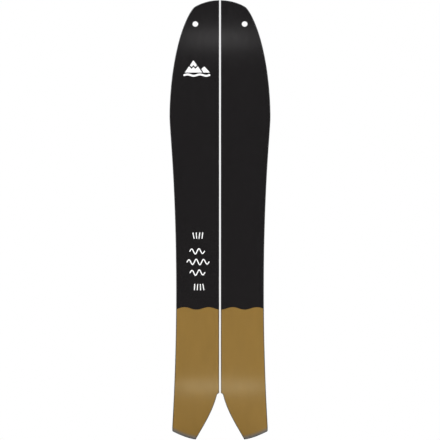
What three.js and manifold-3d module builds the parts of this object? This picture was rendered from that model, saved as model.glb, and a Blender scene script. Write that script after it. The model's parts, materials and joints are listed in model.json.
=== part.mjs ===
// A splitboard: a swallowtail snowboard cut along its length into two halves, with the
// hooks and clips that hold the halves together. The board stands nose up with its
// base facing -Y and its topsheet, which carries the hardware, facing +Y.
//
// The board is laid out in board coordinates: x across from the split, s along from
// the tail tips to the nose, and n upwards from the running base, square to it.
import * as THREE from 'three';
import { mergeVertices } from 'three/addons/utils/BufferGeometryUtils.js';
import Module from 'manifold-3d';

const wasm = await Module();
wasm.setup();

// ---- Driving dimensions, in millimetres ----

// Outline of one half, seen in plan
const LENGTH = 1440; // tail tips to nose
const HALF_GAP = 2.425; // from the centre line to a half's inner edge, halves parked side by side
const NOSE_SHOULDER = [81.1, 1419.4]; // where the flat nose crown turns into the rounded shoulder
const SHOVEL_START = [97.8, 1399.7]; // where the shoulder runs out into the shovel
const NOSE_WIDEST = [165.4, 1058.8];
const WAIST = [143.65, 482];
const TAIL_WIDEST = [156.3, 42.6];
const TAIL_CORNER = [156.6, 27.4]; // the sharp corner that the tail's outer rounding replaces
const TAIL_END_START = [153, 25.5];
const TAIL_TIP = [79.7, 0];
const NOTCH_RADIUS = 11; // rounded apex of the swallowtail notch
const NOTCH_CENTRE = 141.3; // height of that rounding's centre above the tail tips
const NOTCH_FLANK = 14; // degrees: where the notch's flank meets its rounding

// Side profile: flat underfoot, rising towards +Y at both ends
const NOSE_RISE = 52;
const NOSE_RISE_START = 1000;
const NOSE_RISE_POWER = 2.2;
const TAIL_RISE = 22;
const TAIL_RISE_START = 240;
const TAIL_RISE_POWER = 2;
const NOSE_SECTIONS = 8; // flat facets that make up each curved end
const TAIL_SECTIONS = 4;

// Layers, as heights above the running base
const BASE_THICKNESS = 1.2;
const LAMINATE_THICKNESS = 0.6;
const TOPSHEET_THICKNESS = 0.5;
const GLUE = 0.1; // resin line between two layers
const CORE_TIP_THICKNESS = 2;
const CORE_FOOT_THICKNESS = 6.7;
const CORE_TAPER_TAIL = [60, 240]; // the core thickens between these two stations
const CORE_TAPER_NOSE = [900, 1385];
const CORE_START = 240; // wood core and sidewalls run between these, spacers beyond them
const CORE_END = 1000;

// Widths across the edge of one half
const STEEL_WIDTH = 2.2;
const SIDEWALL_WIDTH = 8;
const TOP_TRIM = 0.4; // the top layers stop this far inside the sidewall
const FIT = 0.2; // play between two pieces side by side

// Wavy joint of the black and gold base sheets
const WAVE_HEIGHT = 429.7;
const WAVE_AMPLITUDE = 4.1;
const WAVE_LENGTH = 79;
const WAVE_CREST = -37.5;
const WAVE_STEP = WAVE_LENGTH / 8;

// Nose holes and their grommets
const NOSE_HOLE = [80.8, 1362.5];
const GROMMET_BORE = 9.25;
const GROMMET_BARREL = 10.5;
const GROMMET_FLANGE = 13.5;
const GROMMET_FLANGE_HEIGHT = 0.8;

// Threaded inserts for the bindings
const INSERT_RADIUS = 4.5;
const INSERT_BORE = 2.5;
const INSERT_FLOOR = 4.3; // height of the bottom of the thread
const INSERT_STRIP = [2.1, 3.3]; // heights of the strip that carries a pack of inserts
const INSERT_STRIP_HALF_WIDTH = 3;
const INSERT_COLUMNS = [26, 66];
const INSERT_PITCH = 25;
const STANCE = { rear: 310, front: 810 };
const TOURING = { column: 74, centre: 620 };

// Hooks and clips
const PIVOT_OFFSET = 18; // from the centre line to a pivot, or to the catch across the split
const HOOK_STATIONS = { rear: 440, front: 940 };
const HOOK_STAGGER = 12; // a pair's two hooks lie this far above and below their station
const CLIP_STATIONS = { tail: 212, nose: 1192.5 };
const ARM_REACH = 45;
const CLOSING = 4.35; // travel that brings the halves together
const CATCH_RADIUS = 3.2;
const JAW_PLAY = 0.7;
const HOOK = { halfWidth: 8, low: 1.7, high: 4.7 };
const LATCH = { halfWidth: 10, low: 3.2, high: 6.2 };
const BOSS_RADIUS = 6; // raised seat round an arm's pivot
const THUMB_RIB = { halfWidth: 6, depth: 3, high: 9.5 };
const PLATE = { halfWidth: 10, halfLength: 24, corner: 4, low: 0.3, high: 2.3 };
const PLATE_SCREW_OFFSET = 17;
const PIVOT_HOLE = 3.4;
const PIVOT_HEAD = { radius: 6.5, rim: 1.4, crown: 4.5, height: 3, socket: 2.3 };
const CATCH_HEAD = { radius: 5.5, rim: 1, crown: 4, height: 2.2, socket: 2, play: 0.4 };
const CATCH_COLLAR = 6; // foot that a catch screw stands on
const SUNK_HEAD = { radius: 4.2, cone: 4.7, socket: 1.5, recess: 0.2 };
const SOCKET_DEPTH = { pivot: 2, catch: 1.5, sunk: 1 };
const SCREW_SHANK = 3;
const SMALL_SHANK = 2;
const SCREW_FLOOR = 2.6; // no screw reaches lower than this above the running base
const SEAT = 0.3; // play under and around the hardware

const PRISM_REACH = 200; // cutters run this far either side of the base plane
const ROUND = 10; // segments of a small round piece
const BORED = 6; // segments of a small hole in the board
const NOSE_ROUND = 12; // segments of a nose hole and its grommet
const OVERLAP = 0.2; // pieces joined into one solid run this far into one another

// ---- Colours and finishes ----

const FINISHES = {
  base_black: [0x201e1f, 0.35, 0],
  base_gold: [0x92733a, 0.38, 0],
  steel: [0x8c8f92, 0.3, 1],
  laminate: [0xb9c2a4, 0.6, 0],
  wood: [0xc8a874, 0.7, 0],
  sidewall: [0x1c1c1e, 0.5, 0],
  spacer: [0x2c2c30, 0.55, 0],
  topsheet: [0x2a2b2e, 0.45, 0],
  grommet: [0x17171a, 0.4, 0],
  insert: [0xa5a7a8, 0.35, 1],
  hook: [0x3a3d42, 0.35, 0.9],
  screw: [0xb8babc, 0.25, 1],
  plate: [0x9da0a3, 0.35, 0.95],
};

function finish(name) {
  const [color, roughness, metalness] = FINISHES[name];
  return new THREE.MeshStandardMaterial({ name, color, roughness, metalness });
}

// ---- Joining and cutting closed solids ----

function toSolid(geometry) {
  const bare = geometry.clone();
  bare.deleteAttribute('normal');
  bare.deleteAttribute('uv');
  const merged = mergeVertices(bare, 1e-4);
  return new wasm.Manifold(new wasm.Mesh({
    numProp: 3,
    vertProperties: new Float32Array(merged.attributes.position.array),
    triVerts: new Uint32Array(merged.index.array),
  }));
}

function toGeometry(solid) {
  const { vertProperties, triVerts } = solid.getMesh();
  const geometry = new THREE.BufferGeometry();
  geometry.setAttribute('position', new THREE.BufferAttribute(vertProperties, 3));
  geometry.setIndex(new THREE.BufferAttribute(triVerts, 1));
  return geometry;
}

function cut(solid, cutters) {
  return cutters.reduce((rest, cutter) => rest.subtract(cutter), solid);
}

function join(solids) {
  return solids.reduce((whole, solid) => whole.add(solid));
}

// A closed solid through a row of rings that all have the same number of corners.
function loft(rings) {
  const corners = rings[0].length;
  const positions = rings.flat(2);
  const triangles = [];
  for (let ring = 0; ring + 1 < rings.length; ring += 1) {
    for (let corner = 0; corner < corners; corner += 1) {
      const a = ring * corners + corner;
      const b = ring * corners + (corner + 1) % corners;
      triangles.push(a, b, b + corners, a, b + corners, a + corners);
    }
  }
  const last = (rings.length - 1) * corners;
  for (let corner = 1; corner + 1 < corners; corner += 1) {
    triangles.push(0, corner + 1, corner);
    triangles.push(last, last + corner, last + corner + 1);
  }
  const geometry = new THREE.BufferGeometry();
  geometry.setAttribute('position', new THREE.Float32BufferAttribute(positions, 3));
  geometry.setIndex(triangles);
  return toSolid(geometry);
}

// A plan shape, given as [x, s] points, standing along Y between two values of y.
function prism(points, low = -PRISM_REACH, high = PRISM_REACH) {
  const shape = new THREE.Shape(points.map(([x, s]) => new THREE.Vector2(x, s)));
  const geometry = new THREE.ExtrudeGeometry(shape, { depth: high - low, bevelEnabled: false });
  geometry.rotateX(Math.PI / 2);
  geometry.translate(0, high, 0);
  return toSolid(geometry);
}

// A turned solid about the local Y axis, from [radius, y] points.
function turned(profile, segments = ROUND) {
  const points = profile.map(([radius, y]) => new THREE.Vector2(radius, y));
  return toSolid(new THREE.LatheGeometry([...points, points[0].clone()], segments));
}

function cylinder(radius, low, high, segments = ROUND) {
  return turned([[0, low], [radius, low], [radius, high], [0, high]], segments);
}

// ---- The board's curved middle surface ----

function smoothRise(s) {
  if (s > NOSE_RISE_START) {
    const along = (s - NOSE_RISE_START) / (LENGTH - NOSE_RISE_START);
    return NOSE_RISE * along ** NOSE_RISE_POWER;
  }
  if (s < TAIL_RISE_START) {
    return TAIL_RISE * ((TAIL_RISE_START - s) / TAIL_RISE_START) ** TAIL_RISE_POWER;
  }
  return 0;
}

// Stations where the board's flat facets meet, from beyond the tail to beyond the nose.
function facetStations() {
  const overrun = 20;
  const stations = [-overrun];
  for (let facet = 0; facet <= TAIL_SECTIONS; facet += 1) {
    stations.push(TAIL_RISE_START * facet / TAIL_SECTIONS);
  }
  stations.push(CORE_TAPER_NOSE[0]);
  for (let facet = 0; facet <= NOSE_SECTIONS; facet += 1) {
    stations.push(NOSE_RISE_START + (LENGTH - NOSE_RISE_START) * facet / NOSE_SECTIONS);
  }
  stations.push(LENGTH + overrun);
  return stations;
}

const STATIONS = facetStations();

// Height of the faceted running base at station s.
function rise(s) {
  const next = Math.max(1, STATIONS.findIndex((station) => station >= s));
  const [from, to] = [STATIONS[next - 1], STATIONS[next]];
  return THREE.MathUtils.lerp(smoothRise(from), smoothRise(to), (s - from) / (to - from));
}

function slope(height, s) {
  const step = 0.01;
  return Math.atan((height(s + step) - height(s - step)) / (2 * step));
}

const tilt = (s) => slope(rise, s);

function ramp(s, [from, to]) {
  return THREE.MathUtils.clamp((s - from) / (to - from), 0, 1);
}

function coreThickness(s) {
  const fullness = ramp(s, CORE_TAPER_TAIL) * (1 - ramp(s, CORE_TAPER_NOSE));
  return CORE_TIP_THICKNESS + (CORE_FOOT_THICKNESS - CORE_TIP_THICKNESS) * fullness;
}

// Heights of the layers above the running base at station s.
const laminateLow = () => BASE_THICKNESS + GLUE;
const laminateHigh = () => laminateLow() + LAMINATE_THICKNESS;
const coreLow = () => laminateHigh() + GLUE;
const coreHigh = (s) => coreLow() + coreThickness(s);
const upperLow = (s) => coreHigh(s) + GLUE;
const upperHigh = (s) => upperLow(s) + LAMINATE_THICKNESS;
const topLow = (s) => upperHigh(s) + GLUE;
const topHigh = (s) => topLow(s) + TOPSHEET_THICKNESS;

function boardPoint(x, s, n) {
  const angle = tilt(s);
  return [x, rise(s) + n * Math.cos(angle), s - n * Math.sin(angle)];
}

// One layer of the board between two heights, wider than the half it is cut from.
function layer(low, high) {
  const width = NOSE_WIDEST[0] + PRISM_REACH;
  return loft(STATIONS.map((s) => [
    boardPoint(-width, s, low(s)),
    boardPoint(width, s, low(s)),
    boardPoint(width, s, high(s)),
    boardPoint(-width, s, high(s)),
  ]));
}

// ---- Plan outlines of a half, on the +x side ----

function bezier(from, first, second, to, steps) {
  const corners = [from, first, second, to].map(([x, s]) => new THREE.Vector2(x, s));
  return new THREE.CubicBezierCurve(...corners).getPoints(steps).slice(1).map(({ x, y }) => [x, y]);
}

function notchPoint(degrees) {
  const angle = THREE.MathUtils.degToRad(degrees);
  return [NOTCH_RADIUS * Math.cos(angle), NOTCH_CENTRE + NOTCH_RADIUS * Math.sin(angle)];
}

function notchRounding() {
  const end = THREE.MathUtils.radToDeg(Math.acos(HALF_GAP / NOTCH_RADIUS));
  const steps = 4;
  const points = [];
  for (let step = 1; step <= steps; step += 1) {
    points.push(notchPoint(NOTCH_FLANK + (end - NOTCH_FLANK) * step / steps));
  }
  return points;
}

// From the nose at the split, round the outside, to the top of the notch.
function halfOutline() {
  const crownTop = [HALF_GAP, LENGTH];
  const waistHandle = 353;
  const tailHandle = 150;
  return [
    crownTop,
    ...bezier(crownTop, [31.3, LENGTH], [58.7, 1432.1], NOSE_SHOULDER, 5),
    ...bezier(NOSE_SHOULDER, [87.7, 1416.1], [94.3, 1404.5], SHOVEL_START, 3),
    ...bezier(SHOVEL_START, [147.9, 1313.4], [NOSE_WIDEST[0], 1157.7], NOSE_WIDEST, 8),
    ...bezier(NOSE_WIDEST, [NOSE_WIDEST[0], 1008], [WAIST[0], WAIST[1] + waistHandle], WAIST, 8),
    ...bezier(WAIST, [WAIST[0], WAIST[1] - tailHandle], [148, 192.6], TAIL_WIDEST, 5),
    ...bezier(TAIL_WIDEST, TAIL_CORNER, TAIL_CORNER, TAIL_END_START, 3),
    ...bezier(TAIL_END_START, [130.3, 14.5], [106.2, 3.6], TAIL_TIP, 4),
    ...bezier(TAIL_TIP, [54.1, 45.1], [23.9, 91.3], notchPoint(NOTCH_FLANK), 5),
    ...notchRounding(),
  ];
}

const OUTLINE = halfOutline();

function clearanceToOutline([x, s]) {
  const point = new THREE.Vector3(x, s, 0);
  const nearest = new THREE.Vector3();
  return Math.min(...OUTLINE.map((start, index) => {
    const end = OUTLINE[(index + 1) % OUTLINE.length];
    const edge = new THREE.Line3(new THREE.Vector3(...start, 0), new THREE.Vector3(...end, 0));
    return edge.closestPointToPoint(point, true, nearest).distanceTo(point);
  }));
}

// The outline moved inwards by a distance. A point that lands too near another stretch of
// the outline belongs to a loop at a tight corner, and is left out.
function inset(distance) {
  const count = OUTLINE.length;
  const moved = OUTLINE.map((point, index) => {
    const previous = new THREE.Vector2(...OUTLINE[(index + count - 1) % count]);
    const here = new THREE.Vector2(...point);
    const next = new THREE.Vector2(...OUTLINE[(index + 1) % count]);
    const arriving = here.clone().sub(previous).normalize();
    const leaving = next.sub(here).normalize();
    const scale = distance / (1 + arriving.dot(leaving));
    return [
      here.x + (arriving.y + leaving.y) * scale,
      here.y - (arriving.x + leaving.x) * scale,
    ];
  });
  return moved.filter((point) => clearanceToOutline(point) > distance - 0.01);
}

function box(xLow, xHigh, sLow, sHigh) {
  return [[xLow, sLow], [xHigh, sLow], [xHigh, sHigh], [xLow, sHigh]];
}

const WIDE = 400;
const beyond = (s) => prism(box(-WIDE, WIDE, s, LENGTH + WIDE));
const before = (s) => prism(box(-WIDE, WIDE, -WIDE, s));
const between = (from, to) => prism(box(-WIDE, WIDE, from, to));

// Height of the wavy joint at x, for the half on the given side of the split.
function waveHeight(x, side) {
  const phase = 2 * Math.PI * (side * x - WAVE_CREST) / WAVE_LENGTH;
  return WAVE_HEIGHT + WAVE_AMPLITUDE * Math.cos(phase);
}

function aboveWave(side, shift) {
  const points = [];
  for (let x = 0; x <= NOSE_WIDEST[0] + WAVE_STEP; x += WAVE_STEP) {
    points.push([x, waveHeight(x, side) + shift]);
  }
  const right = points.at(-1)[0];
  return prism([...points, [right, LENGTH + WIDE], [0, LENGTH + WIDE]]);
}

// ---- Hardware frames: local Y stands square on the topsheet, local Z points to the nose ----

function hardwareFrame(x, s, turn = 0) {
  const [px, py, pz] = boardPoint(x, s, topHigh(s));
  const frame = new THREE.Group();
  frame.position.set(px, py, pz);
  frame.rotation.set(-slope((at) => rise(at) + topHigh(at), s), turn, 0);
  frame.updateMatrix();
  return frame;
}

function placed(solid, x, s) {
  const geometry = toGeometry(solid);
  geometry.applyMatrix4(hardwareFrame(x, s).matrix);
  return toSolid(geometry);
}

function screwDepth(s) {
  return topHigh(s) - SCREW_FLOOR;
}

// ---- Where things sit on each half: x from the split, as on the +x half ----

function insertPacks() {
  const rows = [-INSERT_PITCH, 0, INSERT_PITCH];
  const binding = (centre) => INSERT_COLUMNS.flatMap((x) => rows.map((row) => [x, centre + row]));
  return {
    rear: binding(STANCE.rear),
    front: binding(STANCE.front),
    touring: rows.map((row) => [TOURING.column, TOURING.centre + row]),
  };
}

// Screws that go into the half on the given side: [x, s, shank radius].
function screwPlaces() {
  const hooks = Object.values(HOOK_STATIONS).flatMap((s) => [
    [PIVOT_OFFSET, s + HOOK_STAGGER, SCREW_SHANK],
    [PIVOT_OFFSET, s - HOOK_STAGGER, SCREW_SHANK],
  ]);
  const clips = Object.values(CLIP_STATIONS).flatMap((s) => [
    [PIVOT_OFFSET, s + PLATE_SCREW_OFFSET, SMALL_SHANK],
    [PIVOT_OFFSET, s - PLATE_SCREW_OFFSET, SMALL_SHANK],
  ]);
  return [...hooks, ...clips];
}

// Corner radius of a coarse hole whose flat sides lie at the given radius.
function aroundBore(radius) {
  return radius / Math.cos(Math.PI / BORED);
}

function screwHoles() {
  return screwPlaces().map(([x, s, radius]) => (
    placed(cylinder(aroundBore(radius + SEAT), -screwDepth(s) - SEAT, SEAT, BORED), x, s)
  ));
}

function insertHoles() {
  return Object.values(insertPacks()).flat().map(([x, s]) => (
    prism(circle(x, s, INSERT_RADIUS + SEAT), coreLow() - 1, PRISM_REACH)
  ));
}

function circle(x, s, radius) {
  const points = [];
  for (let step = 0; step < BORED; step += 1) {
    const angle = 2 * Math.PI * (step + 0.5) / BORED;
    points.push([x + radius * Math.cos(angle), s + radius * Math.sin(angle)]);
  }
  return points;
}

// The strips of one pack: one along each column, and one across between the columns.
function stripBoxes(places, grow) {
  const half = INSERT_STRIP_HALF_WIDTH + grow;
  const xs = [...new Set(places.map(([x]) => x))];
  const rows = places.map(([, s]) => s);
  const low = Math.min(...rows);
  const high = Math.max(...rows);
  const columns = xs.map((x) => box(x - half, x + half, low - half, high + half));
  if (xs.length < 2) return columns;
  const middle = (low + high) / 2;
  return [...columns, box(xs[0] - half, xs[1] + half, middle - half, middle + half)];
}

function insertPack(places) {
  const [low, high] = INSERT_STRIP;
  const top = topHigh(places[0][1]);
  const strips = stripBoxes(places, 0).map((points) => prism(points, low, high));
  const barrels = places.map(([x, s]) => prism(circle(x, s, INSERT_RADIUS), low, top));
  const bores = places.map(([x, s]) => prism(circle(x, s, INSERT_BORE), INSERT_FLOOR, top + 1));
  return cut(join([...strips, ...barrels]), bores);
}

function stripChannels() {
  const top = INSERT_STRIP[1] + SEAT;
  return Object.values(insertPacks()).flatMap((places) => (
    stripBoxes(places, SEAT).map((points) => prism(points, coreLow() - 1, top))
  ));
}

// ---- The layers of one half ----

function noseHole() {
  const through = 20;
  return placed(cylinder(GROMMET_BARREL + SEAT, -through, through, NOSE_ROUND), ...NOSE_HOLE);
}

// The zone of the ring round a half that runs along the split and the notch.
function innerZone(grow) {
  const ringTop = LENGTH - STEEL_WIDTH - FIT + grow;
  const ringSide = HALF_GAP + STEEL_WIDTH + FIT;
  const aboveNotch = 160;
  const insideTheRing = [[40, 150], [100, 30]];
  const endCut = [84, 2]; // where the two edges meet at the tail end
  const belowTips = [70, -20];
  return prism([
    [0, ringTop],
    [ringSide, ringTop],
    [ringSide, aboveNotch],
    ...insideTheRing,
    [endCut[0] + grow, endCut[1]],
    [belowTips[0] + grow, belowTips[1]],
    [0, belowTips[1]],
  ]);
}

function steelEdges() {
  const ring = layer(() => 0, laminateHigh)
    .intersect(prism(inset(0)))
    .subtract(prism(inset(STEEL_WIDTH)));
  return {
    steel_edge_outer: ring.subtract(innerZone(FIT)),
    steel_edge_inner: ring.intersect(innerZone(0)),
  };
}

function bases(side) {
  const hole = noseHole();
  const sheet = layer(() => 0, () => BASE_THICKNESS).intersect(prism(inset(STEEL_WIDTH + FIT)));
  return {
    base_black: sheet.intersect(aboveWave(side, FIT / 2)).subtract(hole),
    base_gold: sheet.subtract(aboveWave(side, -FIT / 2)),
  };
}

function coreLevel() {
  const whole = layer(coreLow, coreHigh);
  const body = whole.intersect(between(CORE_START + FIT, CORE_END - FIT));
  const ring = body.intersect(prism(inset(0))).subtract(prism(inset(SIDEWALL_WIDTH)));
  const midline = 70;
  const inner = prism(box(0, midline, 0, LENGTH));
  const blank = whole.intersect(prism(inset(0)));
  const core = body.intersect(prism(inset(SIDEWALL_WIDTH + FIT)));
  return {
    sidewall_outer: ring.subtract(inner),
    sidewall_inner: ring.intersect(inner),
    wood_core: cut(core, [...screwHoles(), ...insertHoles(), ...stripChannels()]),
    nose_spacer: cut(blank.intersect(beyond(CORE_END)), [noseHole(), ...screwHoles()]),
    tail_spacer: cut(blank.intersect(before(CORE_START)), screwHoles()),
  };
}

function skins() {
  const holes = [noseHole(), ...screwHoles(), ...insertHoles()];
  const lowerPlan = prism(inset(STEEL_WIDTH + FIT));
  const upperPlan = prism(inset(TOP_TRIM));
  return {
    lower_laminate: layer(laminateLow, laminateHigh).intersect(lowerPlan).subtract(noseHole()),
    upper_laminate: cut(layer(upperLow, upperHigh).intersect(upperPlan), holes),
    topsheet: cut(layer(topLow, topHigh).intersect(upperPlan), holes),
  };
}

function grommet() {
  const recess = 0.1;
  const bottom = recess - topHigh(NOSE_HOLE[1]);
  const ring = turned([
    [GROMMET_BORE, bottom],
    [GROMMET_BARREL, bottom],
    [GROMMET_BARREL, FIT],
    [GROMMET_FLANGE, FIT],
    [GROMMET_FLANGE, FIT + GROMMET_FLANGE_HEIGHT],
    [GROMMET_BORE, FIT + GROMMET_FLANGE_HEIGHT],
  ], NOSE_ROUND);
  return placed(ring, ...NOSE_HOLE);
}

const HALF_FINISH = {
  base_black: 'base_black',
  base_gold: 'base_gold',
  steel_edge_outer: 'steel',
  steel_edge_inner: 'steel',
  lower_laminate: 'laminate',
  wood_core: 'wood',
  sidewall_outer: 'sidewall',
  sidewall_inner: 'sidewall',
  nose_spacer: 'spacer',
  tail_spacer: 'spacer',
  upper_laminate: 'laminate',
  topsheet: 'topsheet',
  nose_grommet: 'grommet',
  inserts_rear: 'insert',
  inserts_front: 'insert',
  inserts_touring: 'insert',
};

// Built on the +x side; the left half is its mirror image, except for the wavy joint.
function mirrored(geometry) {
  const copy = geometry.clone();
  copy.scale(-1, 1, 1);
  copy.setIndex(Array.from(copy.index.array).reverse());
  return copy;
}

function boardHalf(name, side) {
  const half = new THREE.Group();
  const solids = {
    ...bases(side),
    ...steelEdges(),
    ...coreLevel(),
    ...skins(),
    nose_grommet: grommet(),
  };
  for (const [pack, places] of Object.entries(insertPacks())) {
    solids[`inserts_${pack}`] = insertPack(places);
  }
  for (const [piece, solid] of Object.entries(solids)) {
    const geometry = toGeometry(solid);
    const mesh = new THREE.Mesh(side < 0 ? mirrored(geometry) : geometry, finish(HALF_FINISH[piece]));
    mesh.name = `${name}_${piece}`;
    half.add(mesh);
  }
  return half;
}

// ---- Hooks and clips, in their hardware frames ----

// An arm lies along local +Z from its pivot, and swings towards +X.
function armOutline(halfWidth) {
  const tipCorner = 4;
  const points = [];
  const heel = 6;
  for (let step = 0; step <= heel; step += 1) {
    const angle = Math.PI * (1 + step / heel);
    points.push([halfWidth * Math.cos(angle), halfWidth * Math.sin(angle)]);
  }
  points.push([halfWidth, ARM_REACH - tipCorner], [halfWidth - tipCorner, ARM_REACH]);
  points.push([tipCorner - halfWidth, ARM_REACH], [-halfWidth, ARM_REACH - tipCorner]);
  return points;
}

// The jaw is a slot on an arc about the pivot, open on the leading side. It is long enough
// to take the catch with the halves closed up and with the halves parked side by side.
function jawOutline() {
  const parked = 2 * PIVOT_OFFSET;
  const near = parked - CLOSING - CATCH_RADIUS - JAW_PLAY;
  const far = parked + CATCH_RADIUS + JAW_PLAY;
  const closedEnd = -(CATCH_RADIUS + JAW_PLAY) / near;
  const openEnd = 0.5;
  const steps = 5;
  const arc = (radius) => {
    const points = [];
    for (let step = 0; step <= steps; step += 1) {
      const angle = closedEnd + (openEnd - closedEnd) * step / steps;
      points.push([radius * Math.sin(angle), radius * Math.cos(angle)]);
    }
    return points;
  };
  return [...arc(near), ...arc(far).reverse()];
}

// The boss under the arm stands on whatever lies at the given height.
function arm({ halfWidth, low, high }, seatHigh) {
  const plate = prism(armOutline(halfWidth), low, high);
  const boss = cylinder(BOSS_RADIUS, seatHigh + SEAT, low + OVERLAP);
  const jaw = prism(jawOutline(), 0, high + 1);
  return cut(join([plate, boss]), [jaw, cylinder(PIVOT_HOLE, 0, high + 1)]);
}

function hookArm() {
  return arm(HOOK, 0);
}

function latchArm() {
  const { halfWidth, depth, high } = THUMB_RIB;
  const ribOutline = box(-halfWidth, halfWidth, ARM_REACH - depth, ARM_REACH);
  return join([arm(LATCH, PLATE.high), prism(ribOutline, LATCH.high - OVERLAP, high)]);
}

// A hexagonal socket sunk into a screw whose face lies at the given height.
function hexSocket(radius, face, depth) {
  return cylinder(radius, face - depth, face + 1, 6);
}

// The outline of a screw's head from its underside up, as [radius, y] points.
function headProfile({ radius, rim, crown, height }, low) {
  return [
    [radius, low],
    [radius, low + rim],
    [crown, low + height],
    [0, low + height],
  ];
}

function pivotScrew(headLow, depth) {
  const body = turned([
    [0, -depth],
    [SCREW_SHANK, -depth],
    [SCREW_SHANK, headLow],
    ...headProfile(PIVOT_HEAD, headLow),
  ]);
  const face = headLow + PIVOT_HEAD.height;
  return body.subtract(hexSocket(PIVOT_HEAD.socket, face, SOCKET_DEPTH.pivot));
}

function catchScrew(depth) {
  const headLow = HOOK.high + CATCH_HEAD.play;
  const collarHigh = HOOK.low - CATCH_HEAD.play;
  const body = turned([
    [0, -depth],
    [SCREW_SHANK, -depth],
    [SCREW_SHANK, SEAT],
    [CATCH_COLLAR, SEAT],
    [CATCH_COLLAR, collarHigh],
    [CATCH_RADIUS, collarHigh],
    [CATCH_RADIUS, headLow],
    ...headProfile(CATCH_HEAD, headLow),
  ]);
  const face = headLow + CATCH_HEAD.height;
  return body.subtract(hexSocket(CATCH_HEAD.socket, face, SOCKET_DEPTH.catch));
}

function plateScrew(depth) {
  const face = PLATE.high - SUNK_HEAD.recess;
  const body = turned([
    [0, -depth],
    [SMALL_SHANK, -depth],
    [SMALL_SHANK, PLATE.low + SEAT],
    [SUNK_HEAD.radius, face],
    [0, face],
  ]);
  return body.subtract(hexSocket(SUNK_HEAD.socket, face, SOCKET_DEPTH.sunk));
}

function countersink() {
  return turned([
    [0, -1],
    [SMALL_SHANK + SEAT, -1],
    [SMALL_SHANK + SEAT, PLATE.low + SUNK_HEAD.recess],
    [SUNK_HEAD.cone, PLATE.high],
    [SUNK_HEAD.cone, PLATE.high + 1],
    [0, PLATE.high + 1],
  ]);
}

function plateOutline() {
  const { halfWidth, halfLength, corner } = PLATE;
  const centres = [[1, 1], [-1, 1], [-1, -1], [1, -1]];
  const steps = 2;
  return centres.flatMap(([right, up], quarter) => {
    const points = [];
    for (let step = 0; step <= steps; step += 1) {
      const angle = Math.PI / 2 * (quarter + step / steps);
      points.push([
        right * (halfWidth - corner) + corner * Math.cos(angle),
        up * (halfLength - corner) + corner * Math.sin(angle),
      ]);
    }
    return points;
  });
}

function plate() {
  const blank = prism(plateOutline(), PLATE.low, PLATE.high);
  const sinks = [-PLATE_SCREW_OFFSET, PLATE_SCREW_OFFSET].map((along) => {
    const geometry = toGeometry(countersink());
    geometry.translate(0, 0, along);
    return toSolid(geometry);
  });
  return cut(blank, sinks);
}

function basePlate() {
  return plate().subtract(cylinder(PIVOT_HOLE, 0, PLATE.high + 1));
}

function catchPlate() {
  const headLow = LATCH.high + CATCH_HEAD.play;
  const pin = turned([
    [0, PLATE.high - OVERLAP],
    [CATCH_RADIUS, PLATE.high - OVERLAP],
    [CATCH_RADIUS, headLow],
    ...headProfile(CATCH_HEAD, headLow),
  ]);
  return join([plate(), pin]);
}

function addPiece(group, name, solid, finishName) {
  const mesh = new THREE.Mesh(toGeometry(solid), finish(finishName));
  mesh.name = name;
  group.add(mesh);
}

// A hook on one half, and its catch screw across the split on the other half.
function hookSet(station, side) {
  const sideName = side < 0 ? 'left' : 'right';
  const s = HOOK_STATIONS[station] - side * HOOK_STAGGER;
  const depth = screwDepth(s);
  const pivot = hardwareFrame(side * PIVOT_OFFSET, s, side < 0 ? 0 : Math.PI);
  addPiece(pivot, `${station}_hook_${sideName}`, hookArm(), 'hook');
  addPiece(pivot, `${station}_hook_${sideName}_pivot_screw`, pivotScrew(HOOK.high + SEAT, depth), 'screw');
  const across = hardwareFrame(-side * PIVOT_OFFSET, s);
  addPiece(across, `${station}_hook_${sideName}_catch_screw`, catchScrew(depth), 'screw');
  return [pivot, across];
}

// A clip: base plate and latch on the left half, catch plate on the right half.
function clipSet(end) {
  const s = CLIP_STATIONS[end];
  const left = hardwareFrame(-PIVOT_OFFSET, s);
  const right = hardwareFrame(PIVOT_OFFSET, s);
  addPiece(left, `${end}_clip_base_plate`, basePlate(), 'plate');
  addPiece(left, `${end}_clip_latch`, latchArm(), 'hook');
  addPiece(left, `${end}_clip_pivot_screw`, pivotScrew(LATCH.high + SEAT, -PLATE.low), 'screw');
  addPiece(right, `${end}_clip_catch_plate`, catchPlate(), 'plate');
  const screws = [left, right].flatMap((frame) => [-1, 1].map((up) => {
    const spot = new THREE.Group();
    spot.position.z = up * PLATE_SCREW_OFFSET;
    frame.add(spot);
    return spot;
  }));
  const names = ['left_lower', 'left_upper', 'right_lower', 'right_upper'];
  screws.forEach((spot, index) => {
    addPiece(spot, `${end}_clip_screw_${names[index]}`, plateScrew(screwDepth(s) - 1), 'screw');
  });
  return [left, right];
}

// ---- The assembly, with its origin midway between the two nose holes ----

const splitboard = new THREE.Group();
const [, holeY, holeZ] = boardPoint(0, NOSE_HOLE[1], topHigh(NOSE_HOLE[1]) / 2);
splitboard.position.set(0, -holeY, -holeZ);
splitboard.add(boardHalf('left', -1), boardHalf('right', 1));
for (const station of Object.keys(HOOK_STATIONS)) {
  splitboard.add(...hookSet(station, -1), ...hookSet(station, 1));
}
for (const end of Object.keys(CLIP_STATIONS)) {
  splitboard.add(...clipSet(end));
}

export default splitboard;
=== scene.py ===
import json
import math

import bpy
import numpy as np
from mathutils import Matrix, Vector
from mathutils.geometry import delaunay_2d_cdt

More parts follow.
